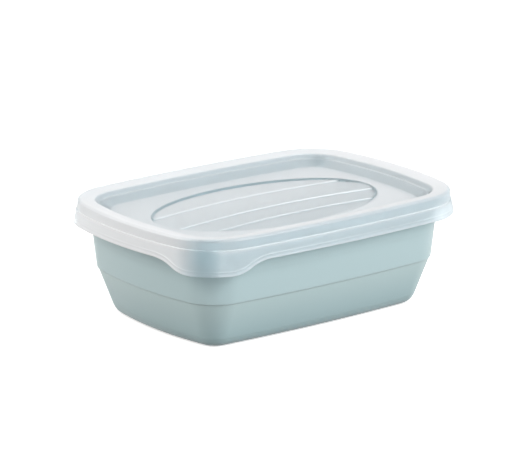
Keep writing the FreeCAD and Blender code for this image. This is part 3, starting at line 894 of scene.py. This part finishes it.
def lid_plastic_with_painted_light():
    """Milky, unpigmented polypropylene: clearer where the milk value is low.  The milk
    value also carries painted light and shade.
    """
    material, shader = new_material("lid_plastic_with_painted_light")
    nodes, links = material.node_tree.nodes, material.node_tree.links
    shader.inputs["Roughness"].default_value = 0.3
    shader.inputs["IOR"].default_value = PLASTIC_IOR
    milk_and_painted_light = nodes.new("ShaderNodeAttribute")
    milk_and_painted_light.attribute_name = "milk_and_painted_light"
    clear = nodes.new("ShaderNodeMapRange")
    clear.inputs["To Min"].default_value = 0.85
    clear.inputs["To Max"].default_value = 0.15
    body = nodes.new("ShaderNodeMix")
    body.data_type = "RGBA"
    body.inputs["A"].default_value = (0.725, 0.825, 0.87, 1)
    body.inputs["B"].default_value = (0.85, 0.86, 0.88, 1)
    # Unclamped, so milk below 0 paints shade as a deeper tint.
    body.clamp_factor = False
    links.new(milk_and_painted_light.outputs["Fac"], clear.inputs["Value"])
    links.new(clear.outputs["Result"], shader.inputs["Transmission Weight"])
    links.new(milk_and_painted_light.outputs["Fac"], body.inputs["Factor"])
    links.new(body.outputs["Result"], shader.inputs["Base Color"])
    moulded_grain(material, shader, 400, 0.03)
    return material


box_shell.data.materials.append(box_plastic_painted_light_and_shade())
lid_shell.data.materials.append(lid_plastic_with_painted_light())
for piece, node in ((box_shell, "box"), (lid_shell, "lid")):
    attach(piece, "root")
    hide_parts(node)

# %% [markdown]
# ## Table and room
# The container stands on a plain white table in a bright white room.  The
# table must look white yet must not throw so much light upward that the lower
# walls lose their shade, so it is a dark grey for the light that bounces off it.
# Where it is looked at, it is white with a glow of its own.  The room is treated
# the same way: full white where it is looked at, weaker where it gives light.

# %% Table and room
def looked_at(tree):
    """1 for rays from the camera, a reflection or a clear plastic, 0 for light."""
    nodes, links = tree.nodes, tree.links
    path = nodes.new("ShaderNodeLightPath")
    either = nodes.new("ShaderNodeMath")
    any_of = nodes.new("ShaderNodeMath")
    either.operation = any_of.operation = "MAXIMUM"
    links.new(path.outputs["Is Camera Ray"], either.inputs[0])
    links.new(path.outputs["Is Glossy Ray"], either.inputs[1])
    links.new(either.outputs[0], any_of.inputs[0])
    links.new(path.outputs["Is Transmission Ray"], any_of.inputs[1])
    return any_of.outputs[0]


def white_table():
    """White where it is looked at, with shadows; dark grey for bounced light."""
    material, shader = new_material("white_table")
    tree = material.node_tree
    shader.inputs["Base Color"].default_value = (0.15, 0.15, 0.15, 1)
    shader.inputs["Roughness"].default_value = 0.9
    white = tree.nodes.new("ShaderNodeBsdfDiffuse")
    glow = tree.nodes.new("ShaderNodeEmission")
    both = tree.nodes.new("ShaderNodeAddShader")
    mix = tree.nodes.new("ShaderNodeMixShader")
    white.inputs["Color"].default_value = (0.9, 0.9, 0.9, 1)
    glow.inputs["Strength"].default_value = 0.5
    tree.links.new(white.outputs[0], both.inputs[0])
    tree.links.new(glow.outputs[0], both.inputs[1])
    tree.links.new(looked_at(tree), mix.inputs[0])
    tree.links.new(shader.outputs[0], mix.inputs[1])
    tree.links.new(both.outputs[0], mix.inputs[2])
    tree.links.new(mix.outputs[0], tree.nodes["Material Output"].inputs["Surface"])
    return material


bpy.ops.mesh.primitive_plane_add(size=6, location=(0, 0, 0))
table = bpy.context.object
table.name = "table"
table.data.materials.append(white_table())

room = bpy.data.worlds.new("white_room")
bpy.context.scene.world = room
room.use_nodes = True
room_nodes, room_links = room.node_tree.nodes, room.node_tree.links
lighting = room_nodes["Background"]
lighting.inputs["Color"].default_value = (1, 1, 1, 1)
lighting.inputs["Strength"].default_value = 0.62
seen = room_nodes.new("ShaderNodeBackground")
seen.inputs["Color"].default_value = (1, 1, 1, 1)
either = room_nodes.new("ShaderNodeMixShader")
room_links.new(looked_at(room.node_tree), either.inputs[0])
room_links.new(lighting.outputs[0], either.inputs[1])
room_links.new(seen.outputs[0], either.inputs[2])
room_links.new(either.outputs[0], room_nodes["World Output"].inputs[0])

# %% [markdown]
# ## Three soft lamps
# The room alone would light all sides alike.  A wide soft lamp stands before the
# long side, so that side is the bright one.  A second, weaker and a little warm,
# stands off the short side, and a faint upright strip near the camera gives the
# rounded corner its highlight.  Small lamps would draw hard spots on satin.

# %% Lamps
def area_lamp(name, place, aim, size, power):
    """A square soft lamp that faces a point, all in metres and watts."""
    data = bpy.data.lights.new(name, "AREA")
    data.shape = "SQUARE"
    data.size = size
    data.energy = power
    lamp = bpy.data.objects.new(name, data)
    bpy.context.scene.collection.objects.link(lamp)
    lamp.location = place
    ahead = Vector(aim) - Vector(place)
    lamp.rotation_euler = ahead.to_track_quat("-Z", "Y").to_euler()
    return lamp


area_lamp("front", (0.6, -1.4, 0.95), (0, 0, 0.03), 0.8, 24)
left = area_lamp("left", (-1.35, 0.4, 0.85), (0, 0, 0.03), 0.9, 18)
left.data.color = (1.0, 0.95, 0.91)
strip = area_lamp("strip", (-0.67, -1.34, 0.35), (0, 0, 0.04), 0.12, 3)
strip.data.shape = "RECTANGLE"
strip.data.size_y = 0.7

# %% [markdown]
# ## A dark card beside the camera
# With white on every side a rounded corner looks flat.  A studio stands a black
# card at the side, out of view, and its soft reflection draws the corner.  A
# darker room would do it too, but would dim every side.  The card is never seen
# itself.

# %% Dark card
bpy.ops.mesh.primitive_plane_add(size=1, location=(-1.17, -0.27, 0.28))
card = bpy.context.object
card.name = "dark_card"
card.rotation_euler = Vector((1.17, 0.27, 0)).to_track_quat("Z", "Y").to_euler()
card.scale = (1.1, 0.56, 1)
card.visible_camera = False
card_paint, card_shader = new_material("dark_card")
card_shader.inputs["Base Color"].default_value = (0.03, 0.03, 0.03, 1)
card.data.materials.append(card_paint)

# %% [markdown]
# ## Camera
# A long lens from nearly two metres keeps the far edges almost parallel to the
# near ones.  It stands off the corner between a long and a short side, a little
# above the table.  The aim lies slightly left of and below the skirt's level,
# which sets where the container comes in the frame.

# %% Camera
AZIMUTH = math.radians(-38.388)
HEIGHT = math.radians(15.372)
DISTANCE = 1.9
AIM_LEFT = 0.00117
AIM_BELOW = 0.01204
BACK = Vector((math.sin(AZIMUTH) * math.cos(HEIGHT),
               -math.cos(AZIMUTH) * math.cos(HEIGHT), math.sin(HEIGHT)))
RIGHT = Vector((math.cos(AZIMUTH), math.sin(AZIMUTH), 0))
UP = BACK.cross(RIGHT)
TARGET = Vector((0, 0, SKIRT_LEVEL * MM))
camera_data = bpy.data.cameras.new("camera")
camera_data.sensor_width = 36
camera_data.lens = 247.7
camera = bpy.data.objects.new("camera", camera_data)
bpy.context.scene.collection.objects.link(camera)
bpy.context.scene.camera = camera
camera.location = TARGET + BACK * DISTANCE
aim = TARGET - RIGHT * AIM_LEFT - UP * AIM_BELOW
camera.rotation_euler = (camera.location - aim).to_track_quat("Z", "Y").to_euler()

# %% [markdown]
# ## View settings
# The Standard view shows colours as they are written above, with no film curve.

# %% Finish
bpy.context.scene.view_settings.view_transform = "Standard"
